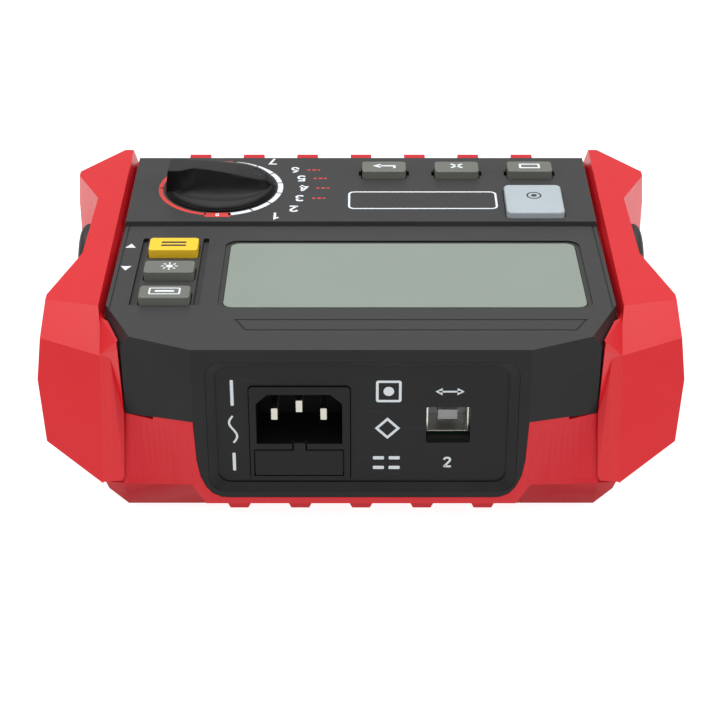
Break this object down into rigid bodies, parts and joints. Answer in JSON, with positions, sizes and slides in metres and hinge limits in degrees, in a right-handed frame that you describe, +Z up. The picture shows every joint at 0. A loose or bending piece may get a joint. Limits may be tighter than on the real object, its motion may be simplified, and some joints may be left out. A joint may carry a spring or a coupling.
{
  "type": "loop and trip tester",
  "caption": "Portable electrical installation tester with a faceted case, side guards, rotary selector, keys, display, mains inlet with fuse drawer, data socket and battery compartment.",
  "frame": {"origin": "middle of the bounding box, at the bottom of the feet", "axes": "+X to the right seen from the connector end, +Y from the connector end towards the operator, +Z up out of the control panel"},
  "size_m": [0.1862, 0.135, 0.0636],
  "materials": {
    "cover_plastic": "fine textured dark grey moulded plastic",
    "red_shell_plastic": "satin red moulded plastic",
    "red_guard_plastic": "satin red moulded plastic, slightly soft",
    "plate_plastic": "matt black moulded plastic",
    "screw_steel": "zinc plated steel",
    "lug_plastic": "black moulded plastic",
    "lens_clear": "clear acrylic window",
    "lcd": "grey-green reflective display glass",
    "frame_plastic": "black moulded plastic",
    "backlight": "white light guide",
    "silicone": "grey silicone rubber",
    "elastomer": "conductive elastomer strip",
    "knob_plastic": "satin dark grey moulded plastic",
    "rotor_plastic": "natural acetal",
    "contact_brass": "gold plated brass",
    "bright_steel": "polished steel",
    "yellow_key_plastic": "yellow moulded plastic",
    "grey_key_plastic": "grey moulded plastic",
    "pale_key_plastic": "pale blue-grey moulded plastic",
    "board": "green glass-fibre circuit board",
    "chip": "black epoxy",
    "relay_plastic": "blue relay housing",
    "winding": "yellow taped winding and core",
    "capacitor_sleeve": "dark blue sleeve",
    "terminal_plastic": "green terminal block",
    "inlet_plastic": "black thermoplastic",
    "pin_nickel": "nickel plated brass",
    "fuse_tube": "clear glass",
    "usb_metal": "nickel plated steel",
    "usb_plastic": "white thermoplastic",
    "wire_brown": "brown insulated wire",
    "wire_blue": "blue insulated wire",
    "wire_green": "green-yellow insulated wire",
    "tray_plastic": "black moulded plastic",
    "cell_sleeve": "plain dark battery sleeve"
  },
  "bodies": {
    "casing": {"top_cover": "cover_plastic", "lower_shell": "red_shell_plastic", "side_guard_left": "red_guard_plastic", "side_guard_right": "red_guard_plastic", "connector_plate": "plate_plastic", "case_screws": "screw_steel", "guard_screws": "screw_steel", "strap_lug_left": "lug_plastic", "strap_lug_right": "lug_plastic", "lug_screws": "screw_steel", "display_lens": "lens_clear", "lcd_glass": "lcd", "lcd_frame": "frame_plastic", "backlight_panel": "backlight", "zebra_strips": "elastomer", "detent_ring": "rotor_plastic", "keypad_left": "silicone", "keypad_right": "silicone", "control_board": "board", "logic_chips": "chip", "buzzer": "chip", "board_screws": "screw_steel", "board_header": "frame_plastic", "power_board": "board", "power_screws": "screw_steel", "relays": "relay_plastic", "transformer": "winding", "capacitors": "capacitor_sleeve", "terminal_block": "terminal_plastic", "mains_inlet": "inlet_plastic", "inlet_pins": "pin_nickel", "usb_board": "board", "usb_shell": "usb_metal", "usb_insert": "usb_plastic", "usb_contacts": "contact_brass", "wire_live": "wire_brown", "wire_neutral": "wire_blue", "wire_earth": "wire_green", "battery_tray": "tray_plastic", "battery_cells": "cell_sleeve", "battery_contacts": "bright_steel", "door_insert": "contact_brass"},
    "selector": {"selector_knob": "knob_plastic", "selector_rotor": "rotor_plastic", "wiper_contacts": "contact_brass", "detent_balls": "bright_steel", "detent_springs": "bright_steel"},
    "yellow_button": {"yellow_key": "yellow_key_plastic"},
    "backlight_button": {"backlight_key": "grey_key_plastic"},
    "display_button": {"display_key": "grey_key_plastic"},
    "enter_button": {"enter_key": "grey_key_plastic"},
    "clear_button": {"clear_key": "grey_key_plastic"},
    "memory_button": {"memory_key": "grey_key_plastic"},
    "measure_button": {"measure_key": "pale_key_plastic"},
    "drawer": {"fuse_drawer": "inlet_plastic", "fuse_glass": "fuse_tube", "fuse_caps": "bright_steel"},
    "door": {"battery_door": "red_shell_plastic", "door_screw": "screw_steel"}
  },
  "joints": [
    {"name": "selector_turn", "type": "hinge", "parent": "casing", "child": "selector", "pos_m": [-0.0452, 0.04045, 0.05], "axis": [0, 0, 1], "range_deg": [-90, 67.5]},
    {"name": "yellow_press", "type": "slide", "parent": "casing", "child": "yellow_button", "axis": [0, -0.0501, -0.9987], "range_m": [0, 0.0012], "stiffness_N_per_m": 250, "springref_m": -0.001, "deforming": ["keypad_left"]},
    {"name": "backlight_press", "type": "slide", "parent": "casing", "child": "backlight_button", "axis": [0, -0.0501, -0.9987], "range_m": [0, 0.0012], "stiffness_N_per_m": 250, "springref_m": -0.001, "deforming": ["keypad_left"]},
    {"name": "display_press", "type": "slide", "parent": "casing", "child": "display_button", "axis": [0, -0.0501, -0.9987], "range_m": [0, 0.0012], "stiffness_N_per_m": 250, "springref_m": -0.001, "deforming": ["keypad_left"]},
    {"name": "enter_press", "type": "slide", "parent": "casing", "child": "enter_button", "axis": [0, 0, -1], "range_m": [0, 0.0012], "stiffness_N_per_m": 250, "springref_m": -0.001, "deforming": ["keypad_right"]},
    {"name": "clear_press", "type": "slide", "parent": "casing", "child": "clear_button", "axis": [0, 0, -1], "range_m": [0, 0.0012], "stiffness_N_per_m": 250, "springref_m": -0.001, "deforming": ["keypad_right"]},
    {"name": "memory_press", "type": "slide", "parent": "casing", "child": "memory_button", "axis": [0, 0, -1], "range_m": [0, 0.0012], "stiffness_N_per_m": 250, "springref_m": -0.001, "deforming": ["keypad_right"]},
    {"name": "measure_press", "type": "slide", "parent": "casing", "child": "measure_button", "axis": [0, 0, -1], "range_m": [0, 0.0012], "stiffness_N_per_m": 250, "springref_m": -0.001, "deforming": ["keypad_right"]},
    {"name": "fuse_drawer_slide", "type": "slide", "parent": "casing", "child": "drawer", "axis": [0, -1, 0], "range_m": [0, 0.021]},
    {"name": "battery_door_hinge", "type": "hinge", "parent": "casing", "child": "door", "pos_m": [0, -0.00515, 0.003], "axis": [-1, 0, 0], "range_deg": [0, 75]}
  ]
}
